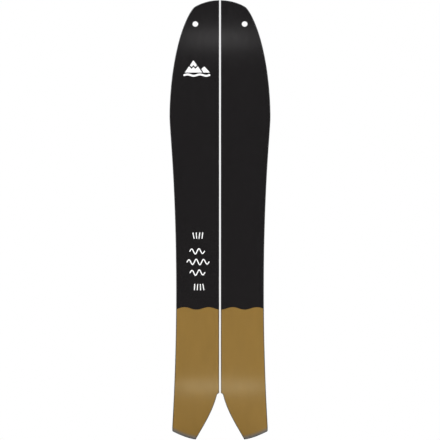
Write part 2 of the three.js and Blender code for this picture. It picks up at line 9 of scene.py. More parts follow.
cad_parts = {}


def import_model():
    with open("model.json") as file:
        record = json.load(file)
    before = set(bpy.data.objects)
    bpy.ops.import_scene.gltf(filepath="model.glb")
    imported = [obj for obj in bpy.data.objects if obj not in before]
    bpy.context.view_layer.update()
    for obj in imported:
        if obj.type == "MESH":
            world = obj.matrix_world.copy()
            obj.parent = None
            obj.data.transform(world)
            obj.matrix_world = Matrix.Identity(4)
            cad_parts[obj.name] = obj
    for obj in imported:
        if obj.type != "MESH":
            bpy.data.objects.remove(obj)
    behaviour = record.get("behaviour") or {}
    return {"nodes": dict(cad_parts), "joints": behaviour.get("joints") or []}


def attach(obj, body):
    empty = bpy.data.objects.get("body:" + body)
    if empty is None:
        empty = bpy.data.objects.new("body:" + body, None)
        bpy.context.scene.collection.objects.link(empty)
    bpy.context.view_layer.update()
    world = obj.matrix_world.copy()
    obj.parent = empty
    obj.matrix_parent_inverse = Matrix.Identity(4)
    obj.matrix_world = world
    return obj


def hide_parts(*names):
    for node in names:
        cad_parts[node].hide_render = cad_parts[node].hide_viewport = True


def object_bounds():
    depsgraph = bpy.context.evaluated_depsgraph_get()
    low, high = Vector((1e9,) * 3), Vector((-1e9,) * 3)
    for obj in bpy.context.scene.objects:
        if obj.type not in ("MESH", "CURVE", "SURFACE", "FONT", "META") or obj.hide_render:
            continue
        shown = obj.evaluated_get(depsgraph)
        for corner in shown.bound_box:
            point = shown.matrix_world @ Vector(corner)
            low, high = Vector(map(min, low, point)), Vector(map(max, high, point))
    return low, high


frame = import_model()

CAD_LOW, CAD_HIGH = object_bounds()
METRE = 1000.0

# ---- Sizes shared with the CAD source, in millimetres ----

LENGTH = 1440.0
HALF_GAP = 2.425
NOSE_SHOULDER = (81.1, 1419.4)
SHOVEL_START = (97.8, 1399.7)
NOSE_WIDEST = (165.4, 1058.8)
WAIST = (143.65, 482.0)
TAIL_WIDEST = (156.3, 42.6)
TAIL_CORNER = (156.6, 27.4)
TAIL_END_START = (153.0, 25.5)
TAIL_TIP = (79.7, 0.0)
NOTCH_RADIUS = 11.0
NOTCH_CENTRE = 141.3
NOTCH_FLANK = math.radians(14)

NOSE_RISE, NOSE_RISE_START, NOSE_RISE_POWER = 52.0, 1000.0, 2.2
TAIL_RISE, TAIL_RISE_START, TAIL_RISE_POWER = 22.0, 240.0, 2.0

BASE_THICKNESS = 1.2
LAMINATE_THICKNESS = 0.6
TOPSHEET_THICKNESS = 0.5
GLUE = 0.1
CORE_LOW = BASE_THICKNESS + LAMINATE_THICKNESS + 2 * GLUE
CORE_TIP_THICKNESS, CORE_FOOT_THICKNESS = 2.0, 6.7
CORE_TAPER_TAIL = (60.0, 240.0)
CORE_TAPER_NOSE = (900.0, 1385.0)
CORE_START, CORE_END = 240.0, 1000.0

STEEL_WIDTH = 2.2
SIDEWALL_WIDTH = 8.0
TOP_TRIM = 0.4
FIT = 0.1
MIDLINE = 70.0

WAVE_HEIGHT, WAVE_AMPLITUDE, WAVE_LENGTH, WAVE_CREST = 429.7, 4.1, 79.0, -37.5

NOSE_HOLE = (80.8, 1362.5)
GROMMET_BORE, GROMMET_BARREL, GROMMET_FLANGE, FLANGE_HEIGHT = 9.25, 10.5, 13.5, 1.0

INSERT_RADIUS, INSERT_BORE, INSERT_FLOOR = 4.5, 2.5, 4.3
INSERT_BOTTOM, INSERT_STRIP_TOP, STRIP_HALF_WIDTH = 2.1, 3.3, 3.0
INSERT_COLUMNS = (26.0, 66.0)
INSERT_PITCH = 25.0
STANCE = {"rear": 310.0, "front": 810.0}
TOUR_COLUMN, TOUR_CENTRE = 74.0, 620.0

PIVOT_OFFSET = 18.0
ARM_REACH = 45.0
CLOSING = 4.35
CATCH_RADIUS = 3.2
JAW_PLAY = 0.7
HOOK = {"half_width": 8.0, "low": 1.7, "high": 4.7}
LATCH = {"half_width": 10.0, "low": 3.2, "high": 6.2}
BOSS_RADIUS = 6.0
RIB_DEPTH, RIB_HIGH, RIB_HALF_WIDTH = 3.0, 9.5, 6.0
PLATE = {"half_width": 10.0, "half_length": 24.0, "corner": 4.0, "low": 0.05, "high": 2.3}
PLATE_SCREW_OFFSET = 17.0
PIVOT_HOLE = 3.4
PIVOT_HEAD = {"radius": 6.5, "rim": 1.4, "crown": 4.5, "height": 3.0, "socket": 4.6}
CATCH_HEAD = {"radius": 5.5, "rim": 1.0, "crown": 4.0, "height": 2.2, "play": 0.4}
CATCH_SOCKET, PIN_SOCKET = 4.0, 3.0
CATCH_COLLAR = 6.0
SUNK_HEAD = {"radius": 4.2, "cone": 4.45, "socket": 3.0, "recess": 0.15}
SOCKET_DEPTH = {"pivot": 2.0, "catch": 1.5, "sunk": 1.0}
SCREW_SHANK, SMALL_SHANK = 3.0, 2.0
SCREW_FLOOR = 2.6
PLAY = 0.3
OVERLAP = 0.2  # parts of one casting run into one another by this much

# ---- How finely the pieces are made ----

GRID, SMALL_GRID = 12.0, 3.0  # spacing of the points inside a sheet, and inside a small part
EDGE_STEP = 10.0  # longest straight step along an outline
EDGE_ROUND, MARK_ROUND = 0.12, 0.04  # rounding of a sheet's rim, and of a mark's
ROUND = 48  # segments of a turned piece
SHARP_CORNER = math.radians(25)


# ---- Plan shapes: arrays of (x, s), counterclockwise ----

def bezier(start, first, second, end, steps):
    t = np.linspace(0, 1, steps + 1)[1:, None]
    a, b, c, d = (np.array(point, float) for point in (start, first, second, end))
    return (1 - t) ** 3 * a + 3 * (1 - t) ** 2 * t * b + 3 * (1 - t) * t ** 2 * c + t ** 3 * d


def arc(centre, radius, start, end, steps):
    angles = np.linspace(start, end, steps + 1)
    return np.array(centre) + radius * np.column_stack([np.cos(angles), np.sin(angles)])


def subdivided(loop, step=EDGE_STEP):
    """The loop with its long straight edges cut into steps."""
    points = []
    for here, there in zip(loop, np.roll(loop, -1, axis=0)):
        count = max(1, math.ceil(np.linalg.norm(there - here) / step))
        points.extend(here + (there - here) * part / count for part in range(count))
    return np.array(points)


def half_outline():
    """The right half's rim, from the crown round the outside to the top of the notch."""
    crown = (HALF_GAP, LENGTH)
    widest_x, waist_x, waist_s = NOSE_WIDEST[0], WAIST[0], WAIST[1]
    apex = math.acos(HALF_GAP / NOTCH_RADIUS)
    rounding = arc((0, NOTCH_CENTRE), NOTCH_RADIUS, NOTCH_FLANK, apex, 12)
    clockwise = np.vstack([
        [crown],
        bezier(crown, (31.3, LENGTH), (58.7, 1432.1), NOSE_SHOULDER, 18),
        bezier(NOSE_SHOULDER, (87.7, 1416.1), (94.3, 1404.5), SHOVEL_START, 8),
        bezier(SHOVEL_START, (147.9, 1313.4), (widest_x, 1157.7), NOSE_WIDEST, 44),
        bezier(NOSE_WIDEST, (widest_x, 1008), (waist_x, waist_s + 353), WAIST, 58),
        bezier(WAIST, (waist_x, waist_s - 150), (148, 192.6), TAIL_WIDEST, 44),
        bezier(TAIL_WIDEST, TAIL_CORNER, TAIL_CORNER, TAIL_END_START, 10),
        bezier(TAIL_END_START, (130.3, 14.5), (106.2, 3.6), TAIL_TIP, 16),
        bezier(TAIL_TIP, (54.1, 45.1), (23.9, 91.3), rounding[0], 30),
        rounding[1:],
    ])
    return subdivided(clockwise[::-1])


def headings(loop):
    """The directions in which the way round arrives at each point and leaves it."""
    arriving = loop - np.roll(loop, 1, axis=0)
    arriving /= np.linalg.norm(arriving, axis=1)[:, None]
    return arriving, np.roll(arriving, -1, axis=0)


def crisp(loop, reach):
    """The loop with points close to its sharp corners, so that shading bends only there."""
    arriving, leaving = headings(loop)
    sharp = (arriving * leaving).sum(1) < math.cos(SHARP_CORNER)
    lengths = np.linalg.norm(np.roll(loop, -1, axis=0) - loop, axis=1)
    roomy = np.minimum(lengths, np.roll(lengths, 1)) > 2.5 * reach
    points = []
    for point, back, ahead, corner in zip(loop, arriving, leaving, sharp & roomy):
        close = [point - back * reach, point, point + ahead * reach]
        points.extend(close if corner else [point])
    return np.array(points)


def left_normals(loop, mitred=True):
    """Directions pointing to the left of the way round, long enough to keep edges parallel."""
    arriving, leaving = headings(loop)
    turn = arriving + leaving
    normal = np.column_stack([-turn[:, 1], turn[:, 0]])
    if mitred:
        sharpest = 0.35
        return normal / np.maximum(1 + (arriving * leaving).sum(1), sharpest)[:, None]
    return normal / np.linalg.norm(normal, axis=1)[:, None]


def distance_to_edges(points, loop):
    a, b = loop, np.roll(loop, -1, axis=0)
    edge = b - a
    offset = points[:, None, :] - a[None]
    share = np.clip((offset * edge).sum(2) / (edge ** 2).sum(1), 0, 1)
    return np.linalg.norm(offset - share[..., None] * edge, axis=2).min(1)


def inset(loop, distance):
    """The loop moved inwards, without the points that would run past one another."""
    if distance == 0:
        return loop
    moved = loop + left_normals(loop) * distance
    return moved[distance_to_edges(moved, loop) > distance - 0.01]


def inside(points, loops):
    """Which points lie within the loops: inside the outer one and outside the holes."""
    crossings = np.zeros(len(points), int)
    for loop in loops:
        a, b = loop, np.roll(loop, -1, axis=0)
        spans = (a[None, :, 1] > points[:, None, 1]) != (b[None, :, 1] > points[:, None, 1])
        height = np.where(b[:, 1] == a[:, 1], 1, b[:, 1] - a[:, 1])
        cross_x = a[:, 0] + (points[:, None, 1] - a[:, 1]) * (b[:, 0] - a[:, 0]) / height
        crossings += (spans & (points[:, None, 0] < cross_x)).sum(1)
    return crossings % 2 == 1


def clipped(loop, height, keep_above, step):
    """The part of a loop above or below the line s = height(x), closed along that line."""
    side = 1 if keep_above else -1
    level = side * (loop[:, 1] - height(loop[:, 0]))
    start = next(i for i in range(len(loop)) if level[i - 1] <= 0 < level[i])
    loop, level = np.roll(loop, -start, axis=0), np.roll(level, -start)
    kept = list(loop[level > 0])
    first_gone = next(i for i in range(len(loop)) if level[i] <= 0)

    def crossing(i, j):
        share = level[i] / (level[i] - level[j])
        x = loop[i][0] + share * (loop[j][0] - loop[i][0])
        return np.array([x, height(x)])

    leave, enter = crossing(first_gone - 1, first_gone), crossing(-1, 0)
    count = max(1, round(abs(enter[0] - leave[0]) / step))
    across = np.linspace(leave[0], enter[0], count + 1)
    return np.vstack([kept, np.column_stack([across, [height(x) for x in across]])])


def run_between(loop, start, end):
    """The loop's points from the one nearest start to the one nearest end."""
    first = int(np.argmin(np.linalg.norm(loop - start, axis=1)))
    last = int(np.argmin(np.linalg.norm(loop - end, axis=1)))
    rolled = np.roll(loop, -first, axis=0)
    return rolled[: (last - first) % len(loop) + 1]


def strip(width, start, end, corner=()):
    """A band of the rim between two points on it, counterclockwise."""
    inner = run_between(inset(OUTLINE, width), np.array(start), np.array(end))[::-1]
    outer = run_between(OUTLINE, np.array(start), np.array(end))
    return np.vstack([outer, *([c] for c in corner), inner])


def circle(x, s, radius, segments=32):
    return arc((x, s), radius, 0, 2 * math.pi, segments)[:-1]


def rounded(points, closed=True, steps=6):
    """A path whose corners, given as (x, s, radius), are rounded off with arcs."""
    out = []
    count = len(points)
    for i, point in enumerate(points):
        here = np.array(point[:2], float)
        radius = point[2] if len(point) > 2 else 0
        ends = not closed and i in (0, count - 1)
        if radius == 0 or ends:
            out.append(here)
            continue
        back = np.array(points[i - 1][:2], float) - here
        ahead = np.array(points[(i + 1) % count][:2], float) - here
        back /= np.linalg.norm(back)
        ahead /= np.linalg.norm(ahead)
        half = math.acos(np.clip(back @ ahead, -1, 1)) / 2
        reach = radius / math.tan(half)
        middle = back + ahead
        centre = here + middle / np.linalg.norm(middle) * radius / math.sin(half)
        start, end = here + back * reach - centre, here + ahead * reach - centre
        turn = math.atan2(start[0] * end[1] - start[1] * end[0], start @ end)
        first = math.atan2(start[1], start[0])
        out.extend(arc(centre, radius, first, first + turn, steps))
    return np.array(out)


def rectangle(left, right, low, high, corner, steps=6):
    corners = [(left, low, corner), (right, low, corner), (right, high, corner)]
    return rounded([*corners, (left, high, corner)], steps=steps)


def mirrored(loop):
    return (loop * [-1, 1])[::-1]


def ribbon(path, width):
    """A stroke of even width with round ends along a path, counterclockwise."""
    path = np.array(path, float)
    along = np.gradient(path, axis=0)
    along /= np.linalg.norm(along, axis=1)[:, None]
    normal = np.column_stack([-along[:, 1], along[:, 0]]) * width / 2
    heading = [math.atan2(d[1], d[0]) for d in (along[0], along[-1])]
    tip = arc(path[-1], width / 2, heading[1] - math.pi / 2, heading[1] + math.pi / 2, 8)
    tail = arc(path[0], width / 2, heading[0] + math.pi / 2, heading[0] + 3 * math.pi / 2, 8)
    return np.vstack([(path - normal)[1:-1], tip, (path + normal)[1:-1][::-1], tail])


OUTLINE = half_outline()


# ---- Where a point of the board or of a piece of hardware lies in the frame ----

def rise(s):
    nose = np.clip((s - NOSE_RISE_START) / (LENGTH - NOSE_RISE_START), 0, None)
    tail = np.clip((TAIL_RISE_START - s) / TAIL_RISE_START, 0, None)
    return NOSE_RISE * nose ** NOSE_RISE_POWER + TAIL_RISE * tail ** TAIL_RISE_POWER


def tilt(s):
    step = 0.01
    return np.arctan((rise(s + step) - rise(s - step)) / (2 * step))


def ramp(s, ends):
    return np.clip((s - ends[0]) / (ends[1] - ends[0]), 0, 1)


def core_high(s):
    fullness = ramp(s, CORE_TAPER_TAIL) * (1 - ramp(s, CORE_TAPER_NOSE))
    extra = (CORE_FOOT_THICKNESS - CORE_TIP_THICKNESS) * fullness
    return CORE_LOW + CORE_TIP_THICKNESS + extra


def flat(height):
    """A level or a line that is the same everywhere."""
    return lambda place: height + 0 * place


def above_core(*layers):
    """The level on top of the core and these thicknesses."""
    return lambda s: sum(layers, core_high(s))


LAID_UP = (2 * GLUE, LAMINATE_THICKNESS)
LEVELS = {
    "base": (flat(0), flat(BASE_THICKNESS)),
    "lower_laminate": (flat(BASE_THICKNESS + GLUE), flat(CORE_LOW - GLUE)),
    "steel": (flat(0), flat(CORE_LOW - GLUE)),
    "core": (flat(CORE_LOW), core_high),
    "upper_laminate": (above_core(GLUE), above_core(GLUE, LAMINATE_THICKNESS)),
    "topsheet": (above_core(*LAID_UP), above_core(*LAID_UP, TOPSHEET_THICKNESS)),
}
TOP = LEVELS["topsheet"][1]


def on_board(points, normals):
    x, s, n = points.T
    angle = tilt(s)
    cos, sin = np.cos(angle), np.sin(angle)
    world = np.column_stack([x, rise(s) + n * cos, s - n * sin]) / METRE
    world += [0, CAD_LOW.y, CAD_LOW.z]
    nx, ns, nn = normals.T
    return world, np.column_stack([nx, nn * cos + ns * sin, ns * cos - nn * sin])


def hardware(foot, axis, turned_round=False):
    """Places a hardware frame whose foot is given in metres, with n along axis."""
    up = Vector(axis).normalized()
    side = Vector((-1, 0, 0)) if turned_round else Vector((1, 0, 0))
    ahead = side.cross(up)
    basis = np.array([side, ahead, up])

    def place(points, normals):
        return np.array(foot) + points @ basis / METRE, normals @ basis

    return place


# ---- Making meshes ----

def added(name, data, location=(0, 0, 0)):
    """A new object in the scene."""
    made = bpy.data.objects.new(name, data)
    made.location = location
    bpy.context.scene.collection.objects.link(made)
    return made


def piece(name, place, points, normals, faces, material):
    """A mesh object from local points. The local axes are left-handed, so faces turn over."""
    world, directions = place(np.array(points, float), np.array(normals, float))
    mesh = bpy.data.meshes.new(name)
    mesh.from_pydata(world.tolist(), [], [tuple(reversed(face)) for face in faces])
    mesh.shade_smooth()
    if directions.any():
        mesh.normals_split_custom_set_from_vertices(directions.tolist())
    mesh.materials.append(MATERIALS[material])
    return added(name, mesh)


def grid_points(loops, spacing):
    low, high = loops[0].min(0), loops[0].max(0)
    xs = np.arange(low[0] + spacing / 2, high[0], spacing)
    rows = np.arange(math.ceil(low[1] / spacing) * spacing, high[1], spacing)
    points = np.array([(x, s) for s in rows for x in xs]).reshape(-1, 2)
    points = points[inside(points, loops)]
    for loop in loops:
        points = points[distance_to_edges(points, loop) > spacing * 0.45]
    return points


def triangulated(rims, extra):
    """Flat triangles that fill the rims, through the extra points as well."""
    points = np.vstack([*rims, extra])
    edges, start = [], 0
    for rim in rims:
        count = len(rim)
        edges += [(start + i, start + (i + 1) % count) for i in range(count)]
        start += count
    verts, _, faces, origins, _, _ = delaunay_2d_cdt(
        [Vector(p) for p in points.tolist()], edges, [], 0, 1e-5)
    verts = np.array([tuple(v) for v in verts])
    faces = np.array([tuple(f) for f in faces])
    faces = faces[inside(verts[faces].mean(1), rims)]
    index = np.zeros(len(points), int)
    for made, given in enumerate(origins):
        index[given] = made
    return verts, faces, index[:start]


def slab(name, loops, levels, material, place=on_board, bevel=EDGE_ROUND, spacing=GRID):
    """A sheet between two heights, with rounded rims: outer loop first, then any holes."""
    loops = [loops[0]] + [loop[::-1] for loop in loops[1:]]
    loops = [crisp(loop, 2 * bevel) for loop in loops]
    low, high = levels
    rim = np.vstack(loops)
    outward = -np.vstack([left_normals(loop, mitred=False) for loop in loops])
    drawn_in = [loop + left_normals(loop) * bevel for loop in loops]
    face_points, triangles, rim_index = triangulated(drawn_in, grid_points(loops, spacing))
    count, around = len(face_points), len(rim)
    rings = [
        (face_points, low(face_points[:, 1]), -1),
        (face_points, high(face_points[:, 1]), 1),
        (rim, low(rim[:, 1]) + bevel, 0),
        (rim, high(rim[:, 1]) - bevel, 0),
    ]
    points = np.vstack([np.column_stack([plan, n]) for plan, n, _ in rings])
    normals = np.vstack([
        np.column_stack([outward, np.zeros(around)]) if way == 0
        else np.tile([0.0, 0.0, way], (len(plan), 1)) for plan, _, way in rings
    ])
    faces = [tuple(t[::-1]) for t in triangles.tolist()]
    faces += [tuple(i + count for i in t) for t in triangles.tolist()]
    start = 0
    for loop in loops:
        for i in range(len(loop)):
            a, b = start + i, start + (i + 1) % len(loop)
            heights = [
                (rim_index[a], rim_index[b]),
                (2 * count + a, 2 * count + b),
                (2 * count + around + a, 2 * count + around + b),
                (count + rim_index[a], count + rim_index[b]),
            ]
            for (la, lb), (ha, hb) in zip(heights, heights[1:]):
                faces.append((int(la), int(lb), int(hb), int(ha)))
        start += len(loop)
    return piece(name, place, points, normals, faces, material)


def hexagon(across):
    """The radius of a hexagon at each angle, for a socket of that size across flats."""
    return lambda angle: across / 2 / math.cos(angle % (math.pi / 3) - math.pi / 6)


def turned(name, profile, place, material, closed=False, segments=ROUND, centre=(0, 0)):
    """A turned piece from (radius, n) points, bottom first. A radius may be a hexagon."""
    angles = [2 * math.pi * i / segments for i in range(segments)]
    points, faces, rings = [], [], []
    for radius, n in profile:
        if radius == 0:
            rings.append([len(points)] * segments)
            points.append((*centre, n))
            continue
        rings.append(list(range(len(points), len(points) + segments)))
        for angle in angles:
            r = radius(angle) if callable(radius) else radius
            points.append((centre[0] + r * math.cos(angle), centre[1] + r * math.sin(angle), n))
    pairs = list(zip(rings, rings[1:])) + ([(rings[-1], rings[0])] if closed else [])
    for lower, upper in pairs:
        for i in range(segments):
            j = (i + 1) % segments
            corners = [lower[i], lower[j], upper[j], upper[i]]
            face = [c for k, c in enumerate(corners) if c != corners[k - 1]]
            faces.append(tuple(face))
    made = piece(name, place, points, np.zeros((len(points), 3)), faces, material)
    made.data.set_sharp_from_angle(angle=math.radians(32))
    return made


def joined(name, parts):
    """One object from several, with each part's own shading kept."""
    bpy.context.view_layer.update()
    with bpy.context.temp_override(
            active_object=parts[0], selected_editable_objects=parts, object=parts[0]):
        bpy.ops.object.join()
    parts[0].name = name
    return parts[0]


# ---- Materials: each has its own short function ----

class Look:
    """A Principled material under construction. Textures are laid out in metres."""

    def __init__(self, name, color, roughness, metallic=0.0, **sockets):
        self.material = bpy.data.materials.new(name)
        self.material.use_nodes = True
        self.nodes = self.material.node_tree.nodes
        self.links = self.material.node_tree.links
        self.shader = self.nodes["Principled BSDF"]
        self.color, self.roughness = color, roughness
        self.set("Base Color", (*color, 1))
        self.set("Roughness", roughness)
        self.set("Metallic", metallic)
        for socket, value in sockets.items():
            self.set(socket.replace("_", " "), value)
        self.place = self.node("ShaderNodeTexCoord").outputs["Object"]

    def node(self, kind, **settings):
        made = self.nodes.new(kind)
        for key, value in settings.items():
            setattr(made, key, value)
        return made

    def set(self, socket, value):
        self.shader.inputs[socket].default_value = value

    def feed(self, socket, output):
        self.links.new(output, self.shader.inputs[socket])

    def stretched(self, stretch):
        mapping = self.node("ShaderNodeMapping")
        mapping.inputs["Scale"].default_value = stretch
        self.links.new(self.place, mapping.inputs["Vector"])
        return mapping.outputs["Vector"]

    def noise(self, scale, detail=3.0, stretch=(1, 1, 1)):
        made = self.node("ShaderNodeTexNoise")
        made.inputs["Scale"].default_value = scale
        made.inputs["Detail"].default_value = detail
        self.links.new(self.stretched(stretch), made.inputs["Vector"])
        return made.outputs["Fac"]

    def spread(self, value, low=0, high=1, start=0.3, end=0.7):
        """The value moved from start..end to low..high."""
        made = self.node("ShaderNodeMapRange")
        self.links.new(value, made.inputs["Value"])
        settings = {"From Min": start, "From Max": end, "To Min": low, "To Max": high}
        for socket, number in settings.items():
            made.inputs[socket].default_value = number
        return made.outputs["Result"]

    def blend(self, share, first, second):
        """A mix of two colours, each a colour or an output."""
        made = self.node("ShaderNodeMix", data_type="RGBA")
        self.links.new(share, made.inputs["Factor"])
        for socket, value in (("A", first), ("B", second)):
            target = next(s for s in made.inputs if s.name == socket and s.type == "RGBA")
            if isinstance(value, tuple):
                target.default_value = (*value, 1)
            else:
                self.links.new(value, target)
        return next(s for s in made.outputs if s.type == "RGBA")

    def maths(self, operation, first, second=0.0):
        made = self.node("ShaderNodeMath", operation=operation)
        for socket, value in zip(made.inputs, (first, second)):
            if isinstance(value, (int, float)):
                socket.default_value = value
            else:
                self.links.new(value, socket)
        return made.outputs[0]

    def axes(self):
        made = self.node("ShaderNodeSeparateXYZ")
        self.links.new(self.place, made.inputs[0])
        return made.outputs

    def bump(self, height, millimetres, strength=1.0):
        made = self.node("ShaderNodeBump")
        made.inputs["Distance"].default_value = millimetres / METRE
        made.inputs["Strength"].default_value = strength
        self.links.new(height, made.inputs["Height"])
        if self.shader.inputs["Normal"].is_linked:
            previous = self.shader.inputs["Normal"].links[0].from_socket
            self.links.new(previous, made.inputs["Normal"])
        self.feed("Normal", made.outputs["Normal"])

    def mottle(self, scale, darker, roughness_play, stretch=(1, 1, 1)):
        """Uneven colour and gloss: the colour falls to a share of itself, darker."""
        patches = self.noise(scale, 4, stretch)
        dark = tuple(c * darker for c in self.color)
        self.feed("Base Color", self.blend(self.spread(patches), self.color, dark))
        rough = self.noise(scale * 1.7, 3, stretch)
        low, high = self.roughness - roughness_play, self.roughness + roughness_play
        self.feed("Roughness", self.spread(rough, low, high))


ALONG = (1, 1, 0.02)  # streaks along the board
BRUSHED = (0.03, 1, 1)


def running_base(name, color, roughness):
    """Sintered base: ground with a fine stone structure along its length, then waxed."""
    look = Look(name, color, roughness)
    look.mottle(38, 0.94, 0.02, (1, 1, 0.25))
    look.bump(look.noise(1400, 2, ALONG), 0.004)
    look.bump(look.noise(260, 5), 0.004)
    return look


def base_black():
    return running_base("base_black", (0.0079, 0.0068, 0.0073), 0.2)


def base_gold():
    """Gold base, greyed in a band along the slanted tail end: painted shade for the upturned tail
    end's darker reflection.
    """
    look = running_base("base_gold", (0.236, 0.138, 0.0315), 0.2)
    x, _, z = look.axes()
    across = look.maths("SUBTRACT", look.maths("ABSOLUTE", x), TAIL_TIP[0] / METRE)
    slope, curve = 0.17, 2.43
    bend = look.maths("ADD", look.maths("MULTIPLY", across, curve), slope)
    line = look.maths("MULTIPLY", across, bend)
    depth = look.maths("SUBTRACT", look.maths("SUBTRACT", z, CAD_LOW.z), line)
    plain = look.shader.inputs["Base Color"].links[0].from_socket
    # painted shade: the gold fades to grey-beige near the slanted tail end, for the upturned
    # tail's darker reflection
    band = look.spread(depth, 1, 0, 0.005, 0.016)
    look.feed("Base Color", look.blend(band, plain, (0.135, 0.122, 0.104)))
    return look


def base_white():
    return running_base("base_white", (0.93, 0.93, 0.93), 0.28)


def edge_steel():
    """Steel edge, file-finished along its length, dulled a little here and there."""
    look = Look("edge_steel", (0.22, 0.22, 0.23), 0.34, 1.0)
    look.mottle(90, 0.72, 0.06, (1, 1, 0.1))
    look.bump(look.noise(1800, 2, ALONG), 0.006)
    return look


def plastic(name, color, roughness, patches, grain, depth):
    """A black moulded plastic with clouded gloss and a fine grain."""
    look = Look(name, color, roughness)
    look.mottle(*patches)
    look.bump(look.noise(*grain), depth)
    return look


def sidewall():
    """Black sidewall plastic, milled flush, with shallow cutter marks along the rim."""
    patches = (55, 0.8, 0.06)
    cutter_marks = (120, 2, (1, 1, 3))
    look = plastic("sidewall", (0.016, 0.016, 0.017), 0.42, patches, cutter_marks, 0.02)
    look.bump(look.noise(900, 3), 0.01)
    return look


def glass_laminate():
    """Glass fibre in resin: a fine woven cloth, greenish and slightly glossy."""
    look = Look("glass_laminate", (0.36, 0.40, 0.28), 0.4)
    weave = look.node("ShaderNodeTexChecker")
    weave.inputs["Scale"].default_value = 900
    weave.inputs["Color1"].default_value = (0.40, 0.44, 0.31, 1)
    weave.inputs["Color2"].default_value = (0.29, 0.33, 0.22, 1)
    look.links.new(look.place, weave.inputs["Vector"])
    clouds = look.spread(look.noise(140, 3), 0, 0.5)
    look.feed("Base Color", look.blend(clouds, weave.outputs["Color"], (0.42, 0.43, 0.34)))
    look.bump(weave.outputs["Fac"], 0.02)
    return look


def core_wood():
    """Vertically laminated wood: strips of alternating tone with grain along the board."""
    look = Look("core_wood", (0.58, 0.40, 0.20), 0.6)
    strips = look.node("ShaderNodeTexWave", wave_profile="SAW", bands_direction="X")
    strips.inputs["Scale"].default_value = 16
    strips.inputs["Distortion"].default_value = 0
    look.links.new(look.place, strips.inputs["Vector"])
    grain = look.noise(420, 6, (1, 1, 0.03))
    tone = look.blend(strips.outputs["Fac"], (0.60, 0.42, 0.22), (0.47, 0.30, 0.14))
    look.feed("Base Color", look.blend(look.spread(grain, 0, 0.7), tone, (0.33, 0.19, 0.08)))
    look.bump(grain, 0.05)
    return look


def spacer():
    """Dark filler at the tips, with a pebbled skin."""
    patches = (70, 0.8, 0.08)
    return plastic("spacer", (0.022, 0.022, 0.025), 0.5, patches, (1500, 4), 0.02)


def topsheet():
    """Satin topsheet: charcoal with fine flecks, and a gold tail behind a pale wavy line."""
    look = Look("topsheet", (0.024, 0.025, 0.028), 0.42, Specular_IOR_Level=0.4)
    x, _, z = look.axes()
    crest = 2 * math.pi / WAVE_LENGTH * METRE
    swing = look.maths("COSINE", look.maths("MULTIPLY", x, crest))
    line = look.maths("MULTIPLY_ADD", swing, WAVE_AMPLITUDE / METRE)
    level = CAD_LOW.z + WAVE_HEIGHT / METRE
    line.node.inputs[2].default_value = level
    depth = look.maths("SUBTRACT", line, z)
    half_line = 1.6 / METRE
    soft = 0.15 / METRE
    tail = look.spread(depth, 0, 1, half_line - soft, half_line + soft)
    stripe = look.spread(depth, 0, 1, -half_line - soft, -half_line + soft)
    flecks = look.spread(look.noise(700, 5), 0, 1, 0.55, 0.75)
    field = look.blend(flecks, (0.017, 0.018, 0.021), (0.036, 0.037, 0.040))
    clouds = look.spread(look.noise(24, 4))
    gold = look.blend(clouds, (0.27, 0.16, 0.036), (0.23, 0.13, 0.028))
    edged = look.blend(stripe, field, (0.55, 0.53, 0.48))
    look.feed("Base Color", look.blend(tail, edged, gold))
    look.feed("Roughness", look.spread(look.noise(60, 3), 0.38, 0.48))
    look.bump(look.noise(2200, 3), 0.01)
    return look


def grommet():
    patches = (180, 0.75, 0.05)
    return plastic("grommet", (0.014, 0.014, 0.015), 0.38, patches, (2600, 3), 0.02)


def metal(name, color, roughness, depth, grain=(1, 1, 1)):
    """A bare or coated metal with a fine grain and faint handling marks."""
    look = Look(name, color, roughness, 1.0)
    look.mottle(160, 0.82, 0.05)
    look.bump(look.noise(2400, 3, grain), depth)
    return look


def insert_steel():
    return metal("insert_steel", (0.55, 0.55, 0.54), 0.32, 0.01)


def screw_steel():
    return metal("screw_steel", (0.60, 0.60, 0.61), 0.26, 0.008)


def clip_plate():
    """Bead-blasted and anodised aluminium."""
    return metal("clip_plate", (0.46, 0.47, 0.49), 0.42, 0.02)


def hook_metal():
    """Grey hard-anodised arm, brushed across, worn brighter in scattered scuffs."""
    look = metal("hook_metal", (0.36, 0.37, 0.39), 0.36, 0.012, BRUSHED)
    scuffs = look.spread(look.noise(420, 6, (1, 1, 0.4)), 0, 1, 0.66, 0.74)
    patches = look.spread(look.noise(160, 4))
    dark = look.blend(patches, (0.36, 0.37, 0.39), (0.28, 0.29, 0.31))
    look.feed("Base Color", look.blend(scuffs, dark, (0.62, 0.62, 0.64)))
    return look


def floor_paint():
    look = Look("floor_paint", (0.92, 0.92, 0.92), 0.85, Specular_IOR_Level=0.1)
    look.mottle(3, 0.98, 0.03)
    return look


MATERIALS = {
    make.__name__: make().material for make in (
        base_black, base_gold, base_white, edge_steel, sidewall, glass_laminate, core_wood,
        spacer, topsheet, grommet, insert_steel, screw_steel, clip_plate, hook_metal,
    )
}


# ---- Marks let into the left half's base, in white ----

EMBLEM_PLACE = (-76.0, 1216.0)
SWELL = {"half_width": 41.0, "s": -21.5, "swing": 2.2, "stroke": 6.5}
TALLY = {"height": 18.0, "pitch": 9.7, "stroke": 3.1}
TALLY_ROWS = {  # middle x, s, and how far each stroke leans
    "upper": (-72.3, 668.3, (3.9, 1.3, -2.4, -2.0)),
    "lower": (-69.0, 499.7, (-1.2, -1.4, 0.6, 3.2)),
}
SQUIGGLE = {"wave": 24.0, "swing": 9.0, "stroke": 3.4}
SQUIGGLE_ROWS = {  # middle x, s, and number of waves
    "high": (-75.0, 617.0, 2), "middle": (-72.0, 582.0, 3), "low": (-74.0, 547.0, 2),
}


